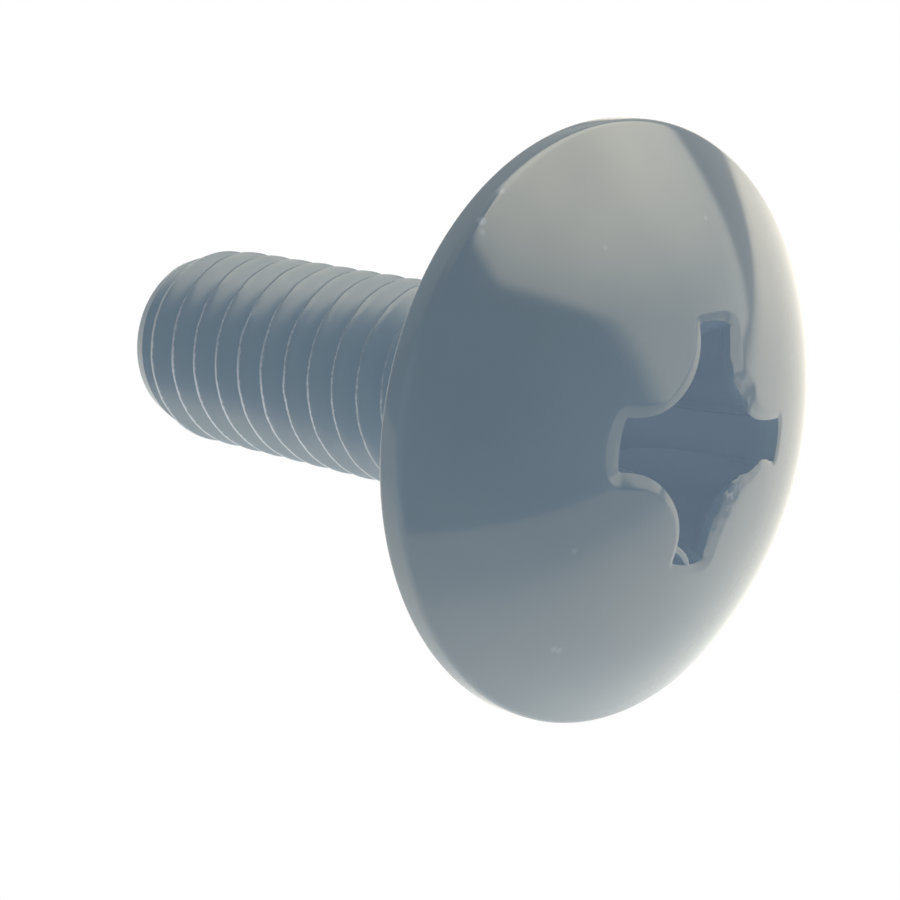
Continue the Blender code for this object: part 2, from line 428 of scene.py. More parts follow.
# %% [markdown]
# All rings have the same number of points, so each is bridged to the next by a band of faces. Only
# the middle of the floor and the end of the neck are left open then, and a fan closes each.

# %% Bridge the rings into a head
def head_mesh():
    """All the rings of the head and neck, bridged one to the next and closed at both ends."""
    profile = underside_profile()
    count = len(cross_outline(RECESS_MOUTH, 0))
    rings = floor_rings() + wall_rings() + lip_rings() + dome_rings(profile[0][0], count)
    angles = [atan2(point[1], point[0]) for point in rings[-1]]
    rings += [[(r * cos(a), r * sin(a), z) for a in angles] for r, z in profile[1:]]
    bm = bmesh.new()
    loops = [[bm.verts.new(point) for point in ring] for ring in rings]
    for inner, outer in zip(loops, loops[1:]):
        for index in range(count):
            after = (index + 1) % count
            bm.faces.new((inner[index], outer[index], outer[after], inner[after]))
    ends = ((loops[0], cone_height(0)), (loops[-1], rings[-1][0][2]))
    for loop, height in ends:
        pole = bm.verts.new((0, 0, height))
        for index in range(count):
            bm.faces.new((loop[index], loop[(index + 1) % count], pole))
    return bm


def object_from(name, bm):
    """Make an object from a closed mesh, with its faces pointing out and shaded smooth."""
    bmesh.ops.recalc_face_normals(bm, faces=bm.faces)
    mesh = bpy.data.meshes.new(name)
    bm.to_mesh(mesh)
    bm.free()
    mesh.shade_smooth()
    item = bpy.data.objects.new(name, mesh)
    bpy.context.scene.collection.objects.link(item)
    return item


screw = object_from("mushroom_head_screw", head_mesh())
print("head:", len(screw.data.polygons), "faces")

# %% [markdown]
# ## Trees of nodes
# The thread and the finish are both made by trees of nodes. A script could add each node in four or
# five lines. One small function keeps that short for both: the inputs are given in order, or by
# name, and an input that is a socket or a node becomes a link.

# %% A small helper that adds one node
def add_node(tree, kind, inputs=(), **settings):
    """Add a node with its settings, and link or set its inputs, in order or by name or number."""
    node = tree.nodes.new(kind)
    for name, value in settings.items():
        setattr(node, name, value)
    pairs = inputs.items() if isinstance(inputs, dict) else enumerate(inputs)
    for key, value in pairs:
        if isinstance(value, bpy.types.Node):
            value = value.outputs[0]
        if isinstance(value, bpy.types.NodeSocket):
            tree.links.new(value, node.inputs[key])
        else:
            node.inputs[key].default_value = value
    return node


# %% [markdown]
# ## The rolled thread
# The thread is not cut: the blank rolls between two grooved dies, which press the grooves in and
# raise the crests, so crest and root are softly rounded and the crest's edge wanders a little. A
# thread is one rule followed many times, which suits Geometry Nodes: a flat grid is wound up, with
# its long side following the helix and its short side drawing one pitch of the profile.
#
# The grid runs from -0.5 to 0.5 both ways. Along it, that is turned into turns round the axis, and
# across it, into a place on the pitch, with the crest in the middle and a root at both edges. The
# radius then comes from the profile: straight flanks, cut off by the crest and by the root with a
# smooth minimum and a smooth maximum. Where two turns meet, their edges fall on the same points and
# are merged, so the thread is one skin.

# %% The thread's sizes, as inputs of its tree
CREST_WANDER = 0.022 * MM

# The thread is wound longer than it shows, and both its ends are trimmed afterwards
SPARE_TURNS = 2
START_TURNS = ceil(SHANK_LENGTH / THREAD_PITCH) + SPARE_TURNS
THREAD_START = CREST_HEIGHT_AT_FRONT - THREAD_PITCH * START_TURNS
THREAD_TURNS = ceil((THREAD_PITCH / 2 - THREAD_START) / THREAD_PITCH)


def thread_inputs(tree):
    """Give the tree its named inputs, which are the thread's sizes and its finish."""
    sizes = {
        "Pitch": THREAD_PITCH,
        "Turns": THREAD_TURNS,
        "Start Height": THREAD_START,
        "Crest Radius": CREST_RADIUS,
        "Root Radius": ROOT_RADIUS,
        "Crest Width": CREST_SHARE * THREAD_PITCH,
        "Neck Length": NECK_LENGTH,
        "Runout Length": RUNOUT_SHARE * THREAD_PITCH,
        "Wander": CREST_WANDER,
    }
    for name, size in sizes.items():
        socket = tree.interface.new_socket(name, in_out="INPUT", socket_type="NodeSocketFloat")
        socket.default_value = size
    tree.interface.new_socket("Finish", in_out="INPUT", socket_type="NodeSocketMaterial")
    tree.interface.new_socket("Geometry", in_out="OUTPUT", socket_type="NodeSocketGeometry")
    return tree.nodes.new("NodeGroupInput").outputs


print(f"{THREAD_TURNS} turns, from {-THREAD_START / MM:.2f} mm under the bearing face upwards")

# %% [markdown]
# The profile gives each point of the grid a radius. The crest drifts a little in and out along the
# helix, and the whole thread sinks to its root where the neck begins, as the dies end there.

# %% The thread's profile, as nodes
WANDER_LENGTH = 0.9 * MM
WANDER_DETAIL = 3.0
CREST_SOFTENING = 0.035 * MM
ROOT_SOFTENING = 0.10 * MM


def crest_drift(tree, given, spot):
    """How far the crest wanders in and out along the helix."""
    scale = CREST_RADIUS / WANDER_LENGTH
    waver = add_node(
        tree, "ShaderNodeTexNoise", {"Vector": spot, "Scale": scale, "Detail": WANDER_DETAIL}
    )
    centred = add_node(tree, "ShaderNodeMath", [waver, 0.5], operation="SUBTRACT")
    return add_node(tree, "ShaderNodeMath", [centred, given["Wander"]], operation="MULTIPLY")


def profile_radius(tree, given, across, drift):
    """Radius of the full thread at a place across the pitch."""
    away = add_node(tree, "ShaderNodeMath", [across], operation="ABSOLUTE")
    away = add_node(tree, "ShaderNodeMath", [away, given["Pitch"]], operation="MULTIPLY")
    half_crest = add_node(tree, "ShaderNodeMath", [given["Crest Width"], 0.5], operation="MULTIPLY")
    down_flank = add_node(tree, "ShaderNodeMath", [away, half_crest], operation="SUBTRACT")
    steepness = tan(THREAD_FLANK_ANGLE)
    fall = add_node(tree, "ShaderNodeMath", [down_flank, steepness], operation="MULTIPLY")
    flank = add_node(tree, "ShaderNodeMath", [given["Crest Radius"], fall], operation="SUBTRACT")
    crest = add_node(tree, "ShaderNodeMath", [given["Crest Radius"], drift], operation="ADD")
    topped = add_node(
        tree, "ShaderNodeMath", [flank, crest, CREST_SOFTENING], operation="SMOOTH_MIN"
    )
    return add_node(
        tree, "ShaderNodeMath", [topped, given["Root Radius"], ROOT_SOFTENING], operation="SMOOTH_MAX"
    )


def run_out(tree, given, full, height):
    """Let the thread sink to its root where the neck begins."""
    below_neck = add_node(tree, "ShaderNodeMath", [height, given["Neck Length"]], operation="ADD")
    fade = add_node(
        tree, "ShaderNodeMath", [below_neck, given["Runout Length"]], operation="DIVIDE"
    )
    share = add_node(tree, "ShaderNodeMath", [0.5, fade], operation="SUBTRACT")
    share = add_node(tree, "ShaderNodeClamp", [share])
    depth = add_node(tree, "ShaderNodeMath", [full, given["Root Radius"]], operation="SUBTRACT")
    return add_node(
        tree, "ShaderNodeMath", [depth, share, given["Root Radius"]], operation="MULTIPLY_ADD"
    )


print(f"thread depth: {(CREST_RADIUS - ROOT_RADIUS) / MM:.2f} mm")

# %% [markdown]
# Now the tree itself. Each point of the grid gets an angle from its place along the helix, a height
# from both its places and a radius from the profile, and is set there.

# %% Wind the grid into a thread
THREAD_STEPS_AROUND = 112
THREAD_STEPS_ACROSS = 22
MERGE_DISTANCE = 0.002 * MM


def thread_tree():
    """Node tree: wind a grid along a helix, with one thread pitch across its short side."""
    tree = bpy.data.node_groups.new("rolled_thread", "GeometryNodeTree")
    given = thread_inputs(tree)
    along = add_node(
        tree, "ShaderNodeMath", [given["Turns"], THREAD_STEPS_AROUND, 1], operation="MULTIPLY_ADD"
    )
    grid = add_node(tree, "GeometryNodeMeshGrid", {"Size X": 1, "Size Y": 1, "Vertices X": along})
    grid.inputs["Vertices Y"].default_value = THREAD_STEPS_ACROSS + 1
    position = tree.nodes.new("GeometryNodeInputPosition")
    place = add_node(tree, "ShaderNodeSeparateXYZ", [position])
    across = place.outputs["Y"]
    share = add_node(tree, "ShaderNodeMath", [place.outputs["X"], 0.5], operation="ADD")
    turns = add_node(tree, "ShaderNodeMath", [share, given["Turns"]], operation="MULTIPLY")
    angle = add_node(tree, "ShaderNodeMath", [turns, 2 * pi], operation="MULTIPLY")
    cosine = add_node(tree, "ShaderNodeMath", [angle], operation="COSINE")
    sine = add_node(tree, "ShaderNodeMath", [angle], operation="SINE")
    level = add_node(tree, "ShaderNodeMath", [turns, across], operation="ADD")
    height = add_node(
        tree, "ShaderNodeMath", [level, given["Pitch"], given["Start Height"]], operation="MULTIPLY_ADD"
    )

    spot = add_node(tree, "ShaderNodeCombineXYZ", [cosine, sine, level])
    full = profile_radius(tree, given, across, crest_drift(tree, given, spot))
    radius = run_out(tree, given, full, height)
    x = add_node(tree, "ShaderNodeMath", [radius, cosine], operation="MULTIPLY")
    y = add_node(tree, "ShaderNodeMath", [radius, sine], operation="MULTIPLY")
    point = add_node(tree, "ShaderNodeCombineXYZ", [x, y, height])

    wound = add_node(tree, "GeometryNodeSetPosition", {"Geometry": grid, "Position": point})
    merging = {"Geometry": wound, "Distance": MERGE_DISTANCE}
    joined = add_node(tree, "GeometryNodeMergeByDistance", merging)
    smooth = add_node(tree, "GeometryNodeSetShadeSmooth", {"Geometry": joined})
    real = add_node(tree, "GeometryNodeRealizeInstances", {"Geometry": smooth})
    finishing = {"Geometry": real, "Material": given["Finish"]}
    finished = add_node(tree, "GeometryNodeSetMaterial", finishing)
    add_node(tree, "NodeGroupOutput", [finished])
    return tree


rolled_thread = thread_tree()
print("tree of the thread:", len(rolled_thread.nodes), "nodes")

# %% [markdown]
# A modifier on an empty object runs the tree, and what it makes is kept as a plain mesh, with a fan
# over each open end. The tree's input for the finish stays empty here, because the whole screw gets
# its finish once head and thread are one.

# %% Run the tree and close the thread
def evaluated_mesh(item):
    """The mesh that an object's modifiers make, as plain data."""
    bpy.context.view_layer.update()
    seen = item.evaluated_get(bpy.context.evaluated_depsgraph_get())
    return bpy.data.meshes.new_from_object(seen)


def close_ends(bm):
    """Close the two open ends of the thread with fans that meet on its axis."""
    edges = [edge for edge in bm.edges if edge.is_boundary]
    middle = sum(edge.verts[0].co.z for edge in edges) / len(edges)
    for is_upper in (False, True):
        end = [edge for edge in edges if (edge.verts[0].co.z >= middle) == is_upper]
        height = sum(edge.verts[0].co.z for edge in end) / len(end)
        centre = bm.verts.new((0, 0, height))
        for edge in end:
            bm.faces.new((*edge.verts, centre))


def threaded_bar():
    """Run the tree on an empty object and close what it winds."""
    carrier = bpy.data.objects.new("thread_carrier", bpy.data.meshes.new("thread_carrier"))
    bpy.context.scene.collection.objects.link(carrier)
    winding = carrier.modifiers.new("rolled_thread", "NODES")
    winding.node_group = rolled_thread
    bm = bmesh.new()
    bm.from_mesh(evaluated_mesh(carrier))
    bpy.data.objects.remove(carrier)
    close_ends(bm)
    return object_from("threaded_bar", bm)


bar = threaded_bar()
print("thread:", THREAD_TURNS, "turns,", len(bar.data.polygons), "faces")

# %% [markdown]
# ## One piece of steel
# Head and thread are one piece, so they become one closed surface. The end of the thread is first
# trimmed to the form that the blank had before rolling: a flat face with a taper behind it, across
# which the last turns run out. Then the neck and the thread are joined under the head.

# %% Trim the thread's end and join it to the neck
TIP_SEGMENTS = 180
ENVELOPE_CLEARANCE = 0.5 * MM
# The thread's upper end is cut off inside the neck
THREAD_TOP = -1.0 * MM


def turned(name, profile, segments):
    """Turn a profile of (radius, height) points, from pole to pole."""
    bm = bmesh.new()
    angles = [2 * pi * (index + 0.5) / segments for index in range(segments)]
    loops = [[bm.verts.new((r * cos(a), r * sin(a), z)) for a in angles] for r, z in profile[1:-1]]
    for lower, upper in zip(loops, loops[1:]):
        for index in range(segments):
            after = (index + 1) % segments
            bm.faces.new((lower[index], lower[after], upper[after], upper[index]))
    for loop, end in ((loops[0], profile[0]), (loops[-1], profile[-1])):
        pole = bm.verts.new((0, 0, end[1]))
        for index in range(segments):
            bm.faces.new((loop[index], loop[(index + 1) % segments], pole))
    return object_from(name, bm)


def tip_envelope():
    """The turned form that holds the end of the thread."""
    tip = TIP_FACE_DIAMETER / 2
    slope = (CREST_RADIUS - tip) / TIP_TAPER_LENGTH
    clear = CREST_RADIUS + ENVELOPE_CLEARANCE
    clear_height = -SHANK_LENGTH + (clear - tip) / slope
    profile = [(0, -SHANK_LENGTH), (tip, -SHANK_LENGTH), (clear, clear_height)]
    profile += [(clear, THREAD_TOP), (0, THREAD_TOP)]
    return turned("tip_envelope", profile, TIP_SEGMENTS)


def combine(target, other, operation):
    """Join or intersect two closed bodies for good, and drop the second."""
    step = target.modifiers.new(operation.lower(), "BOOLEAN")
    step.operation = operation
    step.object = other
    step.solver = "EXACT"
    mesh = evaluated_mesh(target)
    target.modifiers.remove(step)
    target.data = mesh
    bpy.data.objects.remove(other)


combine(bar, tip_envelope(), "INTERSECT")
print("trimmed thread:", len(bar.data.polygons), "faces")
combine(screw, bar, "UNION")
print("head and thread as one:", len(screw.data.polygons), "faces")

# %% [markdown]
# ## A curl of metal
# A driver bit that slips raises more than burrs. At the end of one wing it has folded a thin curl of
# metal across the corner, with a small pocket behind it. The curl is a ridge with a round top that
# follows a curved path just under the dome, and both its ends run into the walls. A curve object
# with a bevel would give a round tube. Sweeping a section of its own gives a ridge with a foot.

# %% A curl of metal in one wing
CURL_PATH = (Vector((1.90, -1.95)) * MM, Vector((2.60, -1.20)) * MM, Vector((3.16, -1.36)) * MM)
CURL_STEPS = 14
CURL_SINK = 0.04 * MM
CURL_HEIGHT = 0.7 * MM
CURL_TOP_RADIUS = 0.10 * MM
CURL_FOOT_RADIUS = 0.14 * MM
CURL_TOP_STEPS = 6


def curl_section():
    """Points (across, down) of the ridge's section, from foot to foot over its round top."""
    points = [(-CURL_FOOT_RADIUS, CURL_HEIGHT)]
    for across, up in arc((0, 0), CURL_TOP_RADIUS, pi, 0, CURL_TOP_STEPS):
        points.append((across, CURL_TOP_RADIUS - up))
    return points + [(CURL_FOOT_RADIUS, CURL_HEIGHT)]


def curl_mesh():
    """Sweep the section along the path and close both ends."""
    start, bend, end = CURL_PATH
    bm = bmesh.new()
    loops = []
    for step in range(CURL_STEPS + 1):
        t = step / CURL_STEPS
        middle = start * (1 - t) ** 2 + bend * 2 * t * (1 - t) + end * t**2
        along = (bend - start) * (1 - t) + (end - bend) * t
        side = Vector((-along.y, along.x)).normalized()
        top = dome_height(middle.length) - CURL_SINK
        places = [(middle + side * across, top - down) for across, down in curl_section()]
        loops.append([bm.verts.new((p.x, p.y, z)) for p, z in places])
    count = len(loops[0])
    for before, after in zip(loops, loops[1:]):
        for index in range(count):
            following = (index + 1) % count
            bm.faces.new((before[index], before[following], after[following], after[index]))
    bm.faces.new(loops[0])
    bm.faces.new(loops[-1])
    return bm


combine(screw, object_from("curl", curl_mesh()), "UNION")
SHARP_EDGE = radians(42)
screw.data.shade_smooth()
screw.data.set_sharp_from_angle(angle=SHARP_EDGE)
screw.data.calc_loop_triangles()
print("screw:", len(screw.data.loop_triangles), "triangles")

# %% [markdown]
# ## Where the finish differs
# Rolling and punching leave the skin of the thread and of the recess duller than the dome, and use
# rubs the film off where metal touches metal: along the crests, and where a driver bit has turned
# against the recess. Each is kept as one number for each point of the mesh, worked out from its
# place on the upright screw, so that the material can follow it. A painted mask would need an image,
# and a rule needs none. The crests also sway a little along the axis, because the metal that rises
# between the dies is not the same all the way.

# %% How dull the metal is
DULL_FROM_DEPTH = 0.1 * MM
DULL_BY_DEPTH = 0.4 * MM
# From here down, the recess's colour is also painted darker, as painted shade
DEEP_FROM_DEPTH = 0.2 * MM
DEEP_BY_DEPTH = 0.7 * MM


def rise(value, start, end):
    """Go straight from 0 to 1 while a value goes from start to end."""
    return min(1.0, max(0.0, (value - start) / (end - start)))


def depth_in_recess(p):
    """How far a point of the recess lies under the dome."""
    radius = hypot(p.x, p.y)
    under_head = p.z <= 0 and radius > ROOT_RADIUS
    if under_head or radius > HEAD_RADIUS / 2 or p.z < -NECK_LENGTH:
        return 0.0
    return dome_height(radius) - p.z


def dullness(p):
    """1 on the thread and deep in the recess, 0 on the dome."""
    return max(rise(depth_in_recess(p), DULL_FROM_DEPTH, DULL_BY_DEPTH), rise(-p.z, 0, NECK_LENGTH))


def deepness(p):
    """1 on the walls and the floor of the recess, matt and painted darker as shade, 0 elsewhere."""
    return rise(depth_in_recess(p), DEEP_FROM_DEPTH, DEEP_BY_DEPTH)


print(f"the recess is matt from {DEEP_BY_DEPTH / MM:.1f} mm under the dome on")

# %% [markdown]
# The crests are rubbed more towards the shank's end, which goes into the hole first. On the side
# that faces up as the screw lies they are rubbed less, so the crests there stay dark: painted shade.
# The ragged burrs are rubbed in a band just under the dome. The sway is strongest on the
# middle of a crest, as the wear is, so both use the same share.

# %% How much the metal is rubbed, and how the crests sway
CREST_SWAY = 0.05 * MM
SWAY_LENGTH = 0.7 * MM
RIPPLE_SHARE = 0.5
RIPPLES_TO_A_SWAY = 2.7
# How far down the flanks a crest's wear and sway reach, as a part of the pitch
CREST_REACH = 0.13
WORN_CRESTS_FROM = 4.0 * MM
WORN_CRESTS_BY = 11.0 * MM
CREST_WEAR_AT_NECK = 0.55
# Painted shade: direction and half angle of the side that faces up as the screw lies, where the crests
# are rubbed less and stay dark, and how much less
CREST_SHADE_ON_TOP = (radians(165), radians(80), 0.75)
BURR_WEAR = 0.56
BURR_WEAR_FROM = 0.03 * MM
BURR_WEAR_TO = 0.15 * MM


def crest_share(p):
    """1 on the middle of the thread's crest, falling to 0 a little way down both flanks."""
    turns = (p.z - THREAD_START) / THREAD_PITCH - atan2(p.y, p.x) / (2 * pi)
    across = (turns + 0.5) % 1 - 0.5
    past_neck = rise(-p.z, NECK_LENGTH, NECK_LENGTH + THREAD_PITCH)
    return (1 - rise(abs(across), 0, CREST_REACH)) * past_neck


def rubbing(p):
    """How much the film is rubbed: along the crests, less on their top side as painted shade, and on
    the burrs in the recess.
    """
    along = rise(-p.z, WORN_CRESTS_FROM, WORN_CRESTS_BY)
    # Less wear on the side that faces up, so the crests stay dark there: painted shade
    around = 1 - swelling(p, [CREST_SHADE_ON_TOP])
    crests = crest_share(p) * around * (CREST_WEAR_AT_NECK + (1 - CREST_WEAR_AT_NECK) * along)
    depth = depth_in_recess(p)
    near_edge = rise(depth, 0, BURR_WEAR_FROM) * (1 - rise(depth, BURR_WEAR_TO, 2 * BURR_WEAR_TO))
    driven = swelling(p, RAGGED_BURRS) / BURR_SIZE
    return max(crests, BURR_WEAR * near_edge * driven)


def sway(p):
    """Shift of a crest along the axis, none at the roots."""
    ripple = noise.noise(p / SWAY_LENGTH * RIPPLES_TO_A_SWAY)
    wave = noise.noise(p / SWAY_LENGTH) + RIPPLE_SHARE * ripple
    return CREST_SWAY * wave * crest_share(p)


print(f"wear and sway reach {CREST_REACH * THREAD_PITCH / MM:.2f} mm down both flanks")

# %% [markdown]
# Each rule is now asked once for every point. The sway comes last, because it moves the points that
# the rules are asked about.

# %% Mark the points, and let the crests sway
def mark(item, name, rule):
    """Keep one number for each point of a mesh."""
    layer = item.data.attributes.new(name, "FLOAT", "POINT")
    for vertex in item.data.vertices:
        layer.data[vertex.index].value = rule(vertex.co)


mark(screw, "dull", dullness)
mark(screw, "deep", deepness)
mark(screw, "rubbed", rubbing)
for vertex in screw.data.vertices:
    vertex.co.z += sway(vertex.co)
worn = sum(1 for value in screw.data.attributes["rubbed"].data if value.value > 0.5)
print(worn, "of", len(screw.data.vertices), "points are rubbed")

# %% [markdown]
# ## Lay it down
# The solid model already lies as the screw comes to rest. The flat face at the end of its shank
# says where: its middle is a point on the axis, and its direction is the axis itself. The mesh is
# turned and moved to it, while the object stays at the origin.

# %% Lay the mesh into the frame
mounts = {mount["name"]: mount for mount in frame["record"]["mounts"]}
axis = -Vector(mounts["shank_end"]["axis"])
foot = Vector(mounts["shank_end"]["pos_m"])
LEAN = asin(axis.z)
LAID = Matrix.Translation(foot + axis * SHANK_LENGTH) @ Matrix.Rotation(pi / 2 - LEAN, 4, "Y")
screw.data.transform(LAID)
lowest = min(vertex.co.z for vertex in screw.data.vertices)
for vertex in screw.data.vertices:
    vertex.co.z = max(vertex.co.z, 0.0)
print(f"the axis leans {degrees(LEAN):.2f} degrees, lowest point {lowest / MM:.4f} mm")

# %% [markdown]
# ## The finish
# The steel is zinc plated and black passivated: a thin hard oxide film, smooth and softly glossy,
# which in strong light looks slate blue. The film is not a bare metal and not a paint. It reflects
# a little more than a varnish does, because an oxide bends light strongly, and it turns white at a
# grazing angle. A plain Principled shader with a high IOR gives both, and it stays a dielectric but
# for the spots where the film is rubbed through to the zinc.
#
# The zinc is deposited from a bath, so the film's colour and gloss drift in clouds a few millimetres
# wide. The rolled skin of the thread also has a fine grit. Real grit is finer than a tenth of a
# millimetre and would not show at this distance, so it is drawn at 0.12 mm.

# %% Colours of the film
def linear(code):
    """Turn an sRGB hex colour into linear values."""
    parts = [int(code[index : index + 2], 16) / 255 for index in (1, 3, 5)]
    return (*[p / 12.92 if p <= 0.04045 else ((p + 0.055) / 1.055) ** 2.4 for p in parts], 1.0)


SLATE = linear("#5d6e7e")
SLATE_CLOUD = linear("#62737f")
# Slate a little darker than the dome: painted shade for the inside of the recess
SLATE_SHADED_IN_RECESS = linear("#5e6c7a")
BARE_ZINC = linear("#b2bccb")
print("slate base colour", [round(c, 3) for c in SLATE])

# %% [markdown]
# The film is gone where the mesh is marked as rubbed, and at a few small scuffs on the dome. The
# grit shifts the threshold of the marks, which gives the bare places a ragged edge.

# %% Where the film is gone
RUB_START = 0.52
RUB_END = 0.85
RAGGEDNESS = 0.7
# Place from above in mm, size in mm and strength of each scuff
SCUFFS = (
    (-7.65, -2.12, 0.13, 0.4),
    (-7.25, -3.03, 0.14, 0.5),
    (-7.04, -3.19, 0.11, 0.3),
    (-5.64, -0.71, 0.10, 0.15),
    (3.42, -5.22, 0.12, 0.25),
    (3.52, -5.10, 0.12, 0.25),
    (0.69, -4.58, 0.10, 0.2),
    (-4.78, 2.98, 0.09, 0.3),
)


def scuffed(tree, place):
    """Small marks on the dome, which fade out from their middles."""
    total = 0.0
    for x, y, size, strength in SCUFFS:
        middle = LAID @ Vector((x * MM, y * MM, dome_height(hypot(x, y) * MM)))
        away = add_node(tree, "ShaderNodeVectorMath", [place, middle], operation="DISTANCE")
        spot = add_node(tree, "ShaderNodeMapRange", {"Value": away.outputs["Value"]})
        spot.inputs["From Max"].default_value = size * MM
        spot.inputs["To Min"].default_value = strength
        spot.inputs["To Max"].default_value = 0.0
        total = add_node(tree, "ShaderNodeMath", [spot, total], operation="MAXIMUM")
    return total


def worn_through(tree, place, grit):
    """1 where the film is gone: on rubbed metal, with a ragged edge, and at the scuffs."""
    rubbed = add_node(tree, "ShaderNodeAttribute", attribute_name="rubbed").outputs["Fac"]
    ragged = add_node(tree, "ShaderNodeMath", [grit, RAGGEDNESS, rubbed], operation="MULTIPLY_ADD")
    bare = add_node(tree, "ShaderNodeMapRange", {"Value": ragged})
    bare.inputs["From Min"].default_value = RUB_START + RAGGEDNESS / 2
    bare.inputs["From Max"].default_value = RUB_END + RAGGEDNESS / 2
    return add_node(tree, "ShaderNodeMath", [bare, scuffed(tree, place)], operation="MAXIMUM")


print(len(SCUFFS), "scuffs")

# %% [markdown]
# Colour, roughness and gloss follow the same few things: the clouds, the marks on the mesh and the
# wear. Each could be painted, but a mix of a few sockets keeps them in step with the shape.

# %% Colour, roughness and gloss of the film
FULL_GLOSS = 0.5
GLOSS_DRIFT = 0.2
MATT_SHARE = 0.8
GLOSS_ROUGHNESS = 0.08
DULL_ROUGHNESS = 0.27
ROUGHNESS_DRIFT = 0.03
WORN_ROUGHNESS = 0.12


def film_colour(tree, cloud, deep, wear):
    """Slate blue in clouds, painted darker in the recess as painted shade, and zinc where the film is
    gone.
    """
    blend = {"data_type": "RGBA"}
    dome = add_node(tree, "ShaderNodeMix", {0: cloud, 6: SLATE, 7: SLATE_CLOUD}, **blend)
    # Painted shade: the deep recess gets the darker slate
    skin = add_node(tree, "ShaderNodeMix", {0: deep, 6: dome.outputs[2], 7: SLATE_SHADED_IN_RECESS}, **blend)
    worn = add_node(tree, "ShaderNodeMix", {0: wear, 6: skin.outputs[2], 7: BARE_ZINC}, **blend)
    return worn.outputs[2]


def film_roughness(tree, dull, cloud, wear):
    """Smooth on the dome, rougher on rolled, struck and worn metal, and drifting in clouds."""
    rough = GLOSS_ROUGHNESS
    steps = (
        (dull, DULL_ROUGHNESS - GLOSS_ROUGHNESS),
        (cloud, ROUGHNESS_DRIFT),
        (wear, WORN_ROUGHNESS),
    )
    for share, added in steps:
        rough = add_node(tree, "ShaderNodeMath", [share, added, rough], operation="MULTIPLY_ADD")
    return rough.outputs[0]


def film_gloss(tree, cloud, deep):
    """Strength of the mirror image: full on the dome, drifting in clouds, and faint in the recess."""
    least = FULL_GLOSS - GLOSS_DRIFT / 2
    gloss = add_node(tree, "ShaderNodeMath", [cloud, GLOSS_DRIFT, least], operation="MULTIPLY_ADD")
    open_share = add_node(tree, "ShaderNodeMath", [deep, -MATT_SHARE, 1], operation="MULTIPLY_ADD")
    return add_node(tree, "ShaderNodeMath", [gloss, open_share], operation="MULTIPLY").outputs[0]


print(f"roughness: {GLOSS_ROUGHNESS} on the dome, {DULL_ROUGHNESS} on the thread")

# %% [markdown]
# Together they make the finish. What is the same all over the screw, the IOR and the tint of the
# gloss, is set on the shader itself.

# %% The finish of the screw
OXIDE_IOR = 2.0
GLOSS_TINT = linear("#fff7e6")
BARE_METALLIC = 0.8
CLOUD_SIZE = 3.0 * MM
GRIT_SIZE = 0.12 * MM
SKIN_DEPTH = 0.003 * MM


def black_passivated_steel():
    """Black passivated zinc on steel: smooth and softly glossy, duller where rolled or struck."""
    material = bpy.data.materials.new("black_passivated_steel")
    material.use_nodes = True
    tree = material.node_tree
    shader = tree.nodes["Principled BSDF"]
    place = tree.nodes.new("ShaderNodeTexCoord").outputs["Object"]
    dull = add_node(tree, "ShaderNodeAttribute", attribute_name="dull").outputs["Fac"]
    deep = add_node(tree, "ShaderNodeAttribute", attribute_name="deep").outputs["Fac"]
    cloud = add_node(tree, "ShaderNodeTexNoise", {"Vector": place, "Scale": 1 / CLOUD_SIZE})
    grit = add_node(tree, "ShaderNodeTexNoise", {"Vector": place, "Scale": 1 / GRIT_SIZE})
    wear = worn_through(tree, place, grit)
    metal = add_node(tree, "ShaderNodeMath", [wear, BARE_METALLIC], operation="MULTIPLY")
    skin = add_node(tree, "ShaderNodeBump", {"Height": grit, "Strength": dull, "Distance": SKIN_DEPTH})
    looks = {
        "Base Color": film_colour(tree, cloud, deep, wear),
        "Roughness": film_roughness(tree, dull, cloud, wear),
        "Metallic": metal.outputs[0],
        "Specular IOR Level": film_gloss(tree, cloud, deep),
        "Normal": skin.outputs[0],
    }
    for name, socket in looks.items():
        tree.links.new(socket, shader.inputs[name])
    shader.inputs["IOR"].default_value = OXIDE_IOR
    shader.inputs["Specular Tint"].default_value = GLOSS_TINT
    return material


screw.data.materials.clear()
screw.data.materials.append(black_passivated_steel())
print("finish:", len(screw.active_material.node_tree.nodes), "nodes")

# %% [markdown]
# ## The table
# The screw lies on a plain white sheet, as a small part does for a catalogue. Lit like a real sheet,
# it would be grey round the screw and would fade with distance. For the camera it is therefore plain
# white, while gloss sees a diffuse sheet that the lamps light. Its two near edges are where they are
# because they show on the dome, as the line where the light sheet ends and the dim room begins.

# %% Table
WHITE = linear("#ffffff")
PAPER = linear("#f2f2f0")
SHEET_REACH = 400 * MM
SHEET_EDGE = 88 * MM
SHEET_SIDE = 115 * MM


def white_sheet():
    """Plain white for the camera, and diffuse paper for everything else."""
    material = bpy.data.materials.new("white_table")
    material.use_nodes = True
    tree = material.node_tree
    paper = add_node(tree, "ShaderNodeBsdfDiffuse", {"Color": PAPER})
    lit = add_node(tree, "ShaderNodeEmission", {"Color": WHITE})
    path = tree.nodes.new("ShaderNodeLightPath").outputs["Is Camera Ray"]
    shown = add_node(tree, "ShaderNodeMixShader", [path, paper, lit])
    tree.links.new(shown.outputs[0], tree.nodes["Material Output"].inputs[0])
    return material


def table():
    """A plain pale sheet on which the screw lies, with its edges out of the camera's view."""
    bm = bmesh.new()
    bmesh.ops.create_grid(bm, x_segments=1, y_segments=1, size=SHEET_REACH)
    middle = (SHEET_SIDE - SHEET_REACH, SHEET_EDGE - SHEET_REACH, 0)
    bmesh.ops.translate(bm, verts=bm.verts, vec=middle)
    mesh = bpy.data.meshes.new("table")
    bm.to_mesh(mesh)
    bm.free()
    item = bpy.data.objects.new("table", mesh)
    bpy.context.scene.collection.objects.link(item)
    mesh.materials.append(white_sheet())
    return item


floor = table()
print(f"table: {2 * SHEET_REACH / MM:.0f} mm square")

